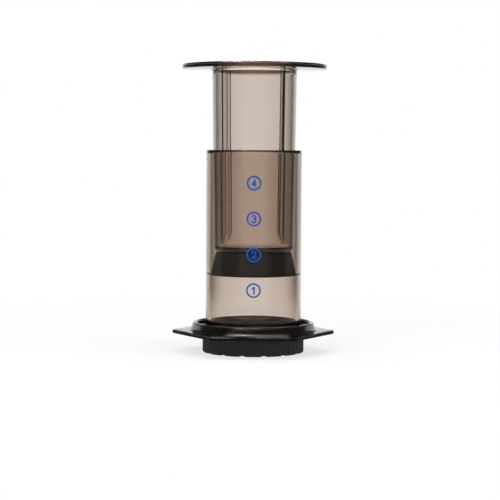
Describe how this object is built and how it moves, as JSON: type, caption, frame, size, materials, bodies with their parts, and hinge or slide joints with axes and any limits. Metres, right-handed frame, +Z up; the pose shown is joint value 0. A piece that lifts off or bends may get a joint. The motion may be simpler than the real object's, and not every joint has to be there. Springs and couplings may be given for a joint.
{
  "type": "air press coffee maker",
  "caption": "Tinted clear tube with a six-sided flange, a hollow plunger with a rubber seal, and a twist-on filter cap; pressing the plunger pushes coffee through a paper filter into a mug.",
  "frame": {"origin": "centre of the filter cap's foot, where the maker stands on a table", "axes": "+Z up along the press axis, +X through two corners of the six-sided flange, the volume marks facing -Y"},
  "size_m": [0.108, 0.096, 0.191],
  "materials": {
    "smoke_plastic": "gloss",
    "black_rubber": "satin",
    "black_plastic": "matte",
    "filter_paper": "matte",
    "blue_ink": "satin"
  },
  "bodies": {
    "chamber": {"chamber": "smoke_plastic", "volume_mark_1": "blue_ink", "volume_mark_2": "blue_ink", "volume_mark_3": "blue_ink", "volume_mark_4": "blue_ink"},
    "seal": {"plunger_seal": "black_rubber"},
    "plunger": {"plunger": "smoke_plastic"},
    "cap": {"filter_cap": "black_plastic", "paper_filter": "filter_paper"}
  },
  "joints": [
    {"name": "plunger_slide", "type": "slide", "parent": "chamber", "child": "seal", "axis": [0, 0, 1], "range_m": [-0.0455, 0.11]},
    {"name": "plunger_turn", "type": "hinge", "parent": "seal", "child": "plunger", "pos_m": [0, 0, 0.06], "axis": [0, 0, 1], "continuous": true},
    {"name": "cap_twist", "type": "hinge", "parent": "chamber", "child": "cap", "pos_m": [0, 0, 0.008], "axis": [0, 0, 1], "range_deg": [-45, 0]}
  ]
}
